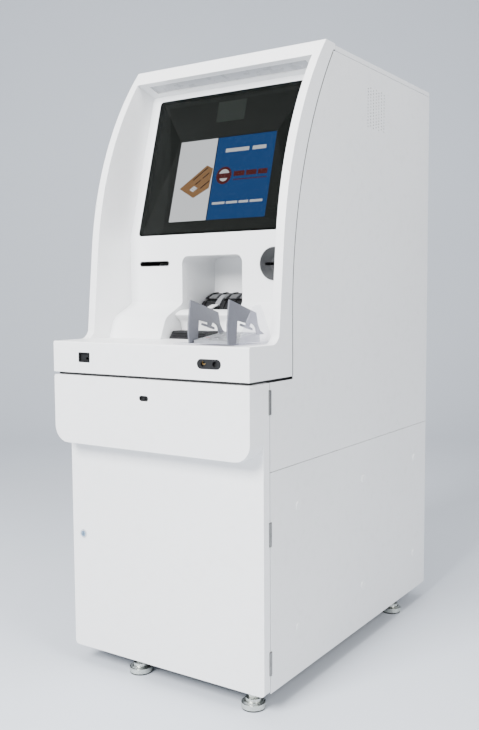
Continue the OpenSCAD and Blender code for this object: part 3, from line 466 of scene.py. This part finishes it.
inks = [picture_ink("picture blue", (0.006, 0.055, 0.205), 5.2),
        picture_ink("picture pale grey", (0.62, 0.64, 0.66), 7.6),
        picture_ink("picture gold", (0.38, 0.20, 0.085), 3.9),
        picture_ink("picture dark line", (0.010, 0.014, 0.022), 0.8),
        picture_ink("picture white", (0.80, 0.82, 0.84), 4.2),
        picture_ink("picture red", (0.15, 0.012, 0.016), 2.8)]
blue, pale, gold, dark, white, red = range(6)


def picture(draft):
    step = 0.00006
    patch(draft, bar(0, 0, 1, 1), step, blue)
    patch(draft, bar(0, 0, 0.40, 1), 2 * step, pale)
    patch(draft, bar(0.398, 0, 0.406, 1), 3 * step, dark)
    patch(draft, [(0.06, 0.59), (0.325, 0.325), (0.395, 0.37), (0.38, 0.607), (0.227, 0.717)],
          3 * step, gold)
    patch(draft, card_patch(0.14, 0.46, 0.30, 0.70), 4 * step, pale)
    for u0, v, u1 in ((0.42, 0.12, 0.96), (0.36, 0.42, 0.56), (0.62, 0.42, 0.86),
                      (0.34, 0.80, 0.66)):
        patch(draft, card_patch(u0, v, u1, v + 0.05), 4 * step, dark)
    for u in (0.19, 0.25):
        patch(draft, card_patch(u, 0.46, u + 0.008, 0.70), 5 * step, dark)
    for u0, u1 in ((0.50, 0.74), (0.775, 0.91)):
        patch(draft, bar(u0, 0.145, u1, 0.190), 2 * step, white)
    patch(draft, disc(0.52, 0.47, 0.024), 2 * step, red)
    patch(draft, disc(0.52, 0.47, 0.017, 20, 160, 24), 3 * step, white)
    patch(draft, disc(0.52, 0.485, 0.013, 200, 340, 24), 3 * step, white)
    for u0, u1 in ((0.62, 0.73), (0.745, 0.85), (0.865, 0.957)):
        patch(draft, bar(u0, 0.43, u1, 0.49), 2 * step, red)
    patch(draft, bar(0.62, 0.525, 0.957, 0.536), 2 * step, red)
    for u0, u1 in ((0.44, 0.57), (0.585, 0.70), (0.715, 0.81), (0.825, 0.95)):
        patch(draft, bar(u0, 0.788, u1, 0.816), 2 * step, white)


lit = merged("picture", picture, inks[0], smooth=False)
for ink in inks[1:]:
    lit.data.materials.append(ink)
fitted(lit, "fascia")
dress("display_screen", matt_black)

# ---- Camera window -------------------------------------------------------------------
# A faint rectangle printed on the back of the glass above the picture, where a small
# camera looks out.
window_print = finish("window print", (0.040, 0.048, 0.042), 0.35, mottle=0.1, mottle_size=60,
                      grain=0.02)


def window(draft):
    half_wide, half_high, inside_glass = 0.0445, 0.029, 0.0031
    centre = on_picture(0.5, -0.32, inside_glass)
    corners = [centre + x * half_wide * Vector((1, 0, 0)) + z * half_high * up_slope
               for x, z in ((-1, -1), (1, -1), (1, 1), (-1, 1))]
    draft.faces.new([draft.verts.new(corner) for corner in corners])


fitted(merged("camera_window", window, window_print, smooth=False), "fascia")

# ---- Visor light ---------------------------------------------------------------------
# An opal acrylic cover in a shallow recess under the visor. A strip of white lamps behind
# it lights the panel and the shelf.
opal = finish("opal acrylic", (0.50, 0.51, 0.53), 0.30, mottle=0.03, mottle_size=8, grain=0.04,
              grain_size=600)
dress("visor_light", opal, 0.0004)

# ---- Card slot -----------------------------------------------------------------------
# A round dished bezel in dark grey plastic with a slot across it. The card reader behind
# it is a closed plastic module fixed to the back of the panel.
bezel_grey = finish("dark grey moulding", (0.026, 0.027, 0.029), 0.40, mottle=0.10,
                    mottle_size=70, grain=0.18, grain_size=1700, Specular_IOR_Level=0.3)
dress("card_bezel", bezel_grey, 0.0005)
dress("card_reader", black_moulding, 0.0008)

# ---- Receipt slot, printer and roll --------------------------------------------------
# A thin black bezel clips into the slot. Behind it the printer's plastic frame carries a
# roll of thermal paper on its own spindle.
dress("receipt_bezel", black_moulding, 0.0002)
dress("receipt_printer", black_moulding, 0.0008)
paper = finish("thermal paper", (0.80, 0.80, 0.77), 0.75, mottle=0.02, mottle_size=40,
               grain=0.25, grain_size=1800, stretch=(40, 1, 1))
dress("paper_roll", paper, 0.0004)

# ---- Strap and pads on the nose ------------------------------------------------------
# Light grey pads between the nose's ribs, and a grey strap that presses on the notes as
# they come out. They are glued into the nose.
nose_grey = finish("grey pads", (0.10, 0.102, 0.106), 0.5, mottle=0.08, mottle_size=60,
                   grain=0.2, grain_size=1300)
strap_grey = finish("grey strap", (0.20, 0.205, 0.215), 0.45, mottle=0.04, mottle_size=60,
                    grain=0.12, grain_size=1300)
nose_low, nose_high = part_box("note_guide")
nose_radius = 0.090
nose_axis_y, nose_axis_z = nose_high[1], nose_high[2] - nose_radius
nose_middle = (nose_low[0] + nose_high[0]) / 2
sunk = 0.005


def over_nose(draft, x0, x1, start, stop, inner, outer, steps=10):
    """A curved strip on the nose between two angles from the vertical."""
    rows = []
    for k in range(steps + 1):
        a = math.radians(start + (stop - start) * k / steps)
        rows.append([draft.verts.new((x, nose_axis_y - r * math.sin(a),
                                      nose_axis_z + r * math.cos(a)))
                     for x, r in ((x0, inner), (x0, outer), (x1, outer), (x1, inner))])
    for low, high in zip(rows, rows[1:]):
        for k in range(4):
            draft.faces.new((low[k], low[k - 1], high[k - 1], high[k]))
    draft.faces.new(rows[0])
    draft.faces.new(rows[-1])


def nose_pads(draft):
    first_rib, rib_pitch, half_rib, side_gap = -0.085, 0.033, 0.004, 0.001
    for k in range(5):
        left = nose_middle + first_rib + k * rib_pitch + half_rib
        right = left + rib_pitch - 2 * half_rib
        over_nose(draft, left + side_gap, right - side_gap, 20, 33,
                  nose_radius - sunk, nose_radius - 0.0012)


def strap(draft):
    left, right = -0.046, -0.031
    over_nose(draft, left, right, 24, 52, nose_radius - sunk, nose_radius + 0.0003)


fitted(merged("nose_pads", nose_pads, nose_grey), "fascia")
fitted(merged("note_strap", strap, strap_grey), "fascia")

# ---- Keypad, its guards and the clear plate ------------------------------------------
# A cast keypad with twelve steel keys stands on a clear acrylic plate between two grey
# guards. A clear fin stands at its right.
keypad_metal = finish("cast keypad", (0.40, 0.41, 0.43), 0.42, 0.8, mottle=0.10, mottle_size=90,
                      grain=0.25, grain_size=1100)
key_steel = finish("key steel", (0.60, 0.61, 0.63), 0.30, 1.0, mottle=0.07, mottle_size=200,
                   grain=0.12, grain_size=900, stretch=(12, 1, 1))
guard_grey = finish("guard grey", (0.115, 0.12, 0.142), 0.52, mottle=0.05, mottle_size=40,
                    grain=0.20, grain_size=1500)
dress("keypad_body", keypad_metal)
dress("guard_plates", guard_grey, 0.0006)
clear = bpy.data.materials.new("clear acrylic")
clear.use_nodes = True
acrylic = clear.node_tree
sheet = acrylic.nodes["Principled BSDF"]
# Toward grazing angles the plate turns more opaque and purple: a painted reflection and sheen.
facing = acrylic.nodes.new("ShaderNodeLayerWeight")
facing.inputs["Blend"].default_value = 0.35
painted_sheen_alpha = acrylic.nodes.new("ShaderNodeMapRange")
painted_sheen_alpha.inputs["To Min"].default_value = 0.05
painted_sheen_alpha.inputs["To Max"].default_value = 0.45
acrylic.links.new(facing.outputs["Facing"], painted_sheen_alpha.inputs["Value"])
acrylic.links.new(painted_sheen_alpha.outputs["Result"], sheet.inputs["Alpha"])
painted_reflection_tint = acrylic.nodes.new("ShaderNodeMix")
painted_reflection_tint.data_type = "RGBA"
painted_reflection_tint.inputs["A"].default_value = (0.86, 0.88, 0.92, 1)
painted_reflection_tint.inputs["B"].default_value = (0.50, 0.46, 0.78, 1)
acrylic.links.new(facing.outputs["Facing"], painted_reflection_tint.inputs["Factor"])
acrylic.links.new(painted_reflection_tint.outputs["Result"], sheet.inputs["Base Color"])
handling = acrylic.nodes.new("ShaderNodeTexNoise")
handling.inputs["Scale"].default_value = 60
polish = acrylic.nodes.new("ShaderNodeMapRange")
polish.inputs["To Min"].default_value = 0.03
polish.inputs["To Max"].default_value = 0.12
acrylic.links.new(handling.outputs["Fac"], polish.inputs["Value"])
acrylic.links.new(polish.outputs["Result"], sheet.inputs["Roughness"])
dress("clear_guard", clear, 0.0004)

# ---- Keys ----------------------------------------------------------------------------
# Each key is a steel cap. The numbers are engraved and filled black, and the two keys beside
# the nought carry a red and a green bar.
key_fill = finish("engraving fill", (0.012, 0.012, 0.013), 0.5, mottle=0.2, mottle_size=400)
red_fill = finish("red fill", (0.45, 0.02, 0.02), 0.45, mottle=0.08, mottle_size=300)
green_fill = finish("green fill", (0.02, 0.26, 0.07), 0.45, mottle=0.08, mottle_size=300)
pad_tilt = math.radians(6.5)
to_pad = Matrix.Rotation(pad_tilt, 4, "X")
above_middle = 0.00236


def on_key(key, build, material):
    """A mark on top of a key, drawn flat in metres round the middle of its face."""
    low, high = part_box(key)
    middle = (Vector(low) + Vector(high)) / 2
    mark = merged(key + "_mark", build, material, smooth=False)
    mark.data.transform(Matrix.Translation(middle) @ to_pad
                        @ Matrix.Translation((0, 0, above_middle)))
    fitted(mark, key)


def numeral(digit):
    """Draws one digit from straight strokes, in metres."""
    wide, high, stroke = 0.0026, 0.0042, 0.0011
    strokes = {"top": (-1, 1, 1, 1), "middle": (-1, 0, 1, 0), "bottom": (-1, -1, 1, -1),
               "upper left": (-1, 0, -1, 1), "upper right": (1, 0, 1, 1),
               "lower left": (-1, -1, -1, 0), "lower right": (1, -1, 1, 0)}
    missing = {0: ["middle"], 1: ["top", "middle", "bottom", "upper left", "lower left"],
               2: ["upper left", "lower right"], 3: ["upper left", "lower left"],
               4: ["top", "bottom", "lower left"], 5: ["upper right", "lower left"],
               6: ["upper right"], 7: ["middle", "bottom", "upper left", "lower left"],
               8: [], 9: ["lower left"]}[digit]

    def build(draft):
        for part, (x0, y0, x1, y1) in strokes.items():
            if part not in missing:
                half = stroke / 2
                low_x, high_x = x0 * wide - half, x1 * wide + half
                low_y, high_y = y0 * high - half, y1 * high + half
                draft.faces.new([draft.verts.new((x, y, 0)) for x, y in (
                    (low_x, low_y), (high_x, low_y), (high_x, high_y), (low_x, high_y))])
    return build


def long_bar(draft):
    x, y = 0.0062, 0.0014
    draft.faces.new([draft.verts.new(corner) for corner in (
        (-x, -y, 0), (x, -y, 0), (x, y, 0), (-x, y, 0))])


for digit in range(10):
    on_key("key_%d" % digit, numeral(digit), key_fill)
    dress("key_%d" % digit, key_steel, 0.0003)
on_key("key_left", long_bar, red_fill)
on_key("key_right", long_bar, green_fill)
dress("key_left key_right", key_steel, 0.0003)

# ---- Sockets -------------------------------------------------------------------------
# A data socket and two audio jacks in black moulded plates in the shelf's front edge. One
# jack has a gold contact ring.
dress("socket_plates", black_moulding, 0.0004)
gold_ring = finish("gold contact", (0.80, 0.52, 0.20), 0.25, 1.0, mottle=0.05, mottle_size=300)
socket_low, socket_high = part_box("socket_plates")
jack = Vector((socket_high[0] - 0.0488, socket_low[1] + 0.0040, socket_high[2] - 0.0112))
ring_outside, ring_inside, ring_deep = 0.0052, 0.0032, 0.002


def contact(draft):
    sides = 40
    rings = []
    for radius, along in ((ring_outside, ring_deep), (ring_outside, 0), (ring_inside, 0),
                          (ring_inside, ring_deep)):
        turns = [2 * math.pi * k / sides for k in range(sides)]
        rings.append([draft.verts.new(jack + Vector((radius * math.cos(a), along,
                                                     radius * math.sin(a)))) for a in turns])
    for first, second in zip(rings, rings[1:] + rings[:1]):
        for k in range(sides):
            draft.faces.new((first[k], first[k - 1], second[k - 1], second[k]))


fitted(merged("jack_ring", contact, gold_ring), "fascia")


# ---- Studio --------------------------------------------------------------------------
# A pale floor that curves up behind the machine, a large soft light high in front, one above,
# and one on the right.
camera_turn = math.radians(33.57)
camera_dip = math.radians(4.73)
camera_tilt = math.radians(-0.35)


def sweep(draft):
    reach, behind_it, rise, bend, half_width = 9.0, 3.2, 6.0, 2.2, 14
    line = [(-reach, 0.0), (behind_it, 0.0)]
    line += [(behind_it + bend * math.sin(a), bend - bend * math.cos(a))
             for a in [math.radians(7.5 * k) for k in range(1, 13)]]
    line += [(behind_it + bend, rise)]
    rows = [[draft.verts.new((x, y, z)) for x in (-half_width, half_width)] for y, z in line]
    for low, high in zip(rows, rows[1:]):
        draft.faces.new((low[0], low[1], high[1], high[0]))


floor_paint = finish("studio floor", (0.62, 0.66, 0.72), 0.7, mottle=0.01, mottle_size=1.0,
                     grain=0.02, grain_size=200)
floor = merged("floor", sweep, floor_paint)
floor.matrix_world = Matrix.Rotation(camera_turn, 4, "Z")


def lamp(name, size, power, place, aim, colour=(1, 1, 1)):
    data = bpy.data.lights.new(name, "AREA")
    data.shape = "RECTANGLE"
    data.size, data.size_y = size
    data.energy = power
    data.color = colour
    light = bpy.data.objects.new(name, data)
    light.location = place
    light.rotation_euler = (Vector(aim) - Vector(place)).to_track_quat("-Z", "Y").to_euler()
    bpy.context.scene.collection.objects.link(light)


lamp("key", (1.9, 1.7), 520, (-0.2, -4.0, 3.0), (0, 0, 0.8))
lamp("top", (3.0, 3.0), 120, (0.2, -0.4, 4.2), (0, 0, 0.8))
lamp("side", (1.8, 2.0), 190, (4.0, -1.2, 3.2), (0, -0.2, 1.3))
world = bpy.data.worlds.new("soft room")
world.use_nodes = True
world.node_tree.nodes["Background"].inputs["Color"].default_value = (0.86, 0.88, 0.92, 1)
world.node_tree.nodes["Background"].inputs["Strength"].default_value = 0.55
bpy.context.scene.world = world

camera_data = bpy.data.cameras.new("camera")
camera_data.sensor_fit = "VERTICAL"
camera_data.sensor_height = 36
camera_data.lens = 42.8
camera_data.clip_end = 60
camera = bpy.data.objects.new("camera", camera_data)
level = math.cos(camera_dip)
behind = Vector((math.sin(camera_turn) * level, -math.cos(camera_turn) * level,
                 math.sin(camera_dip)))
right = (-behind).cross(Vector((0, 0, 1))).normalized()
up = right.cross(-behind)
across = math.cos(camera_tilt) * right + math.sin(camera_tilt) * up
upward = -math.sin(camera_tilt) * right + math.cos(camera_tilt) * up
camera.matrix_world = Matrix.Translation((1.3058, -2.0730, 0.9716)) @ Matrix(
    (across, upward, behind)).transposed().to_4x4()
bpy.context.scene.collection.objects.link(camera)
bpy.context.scene.camera = camera
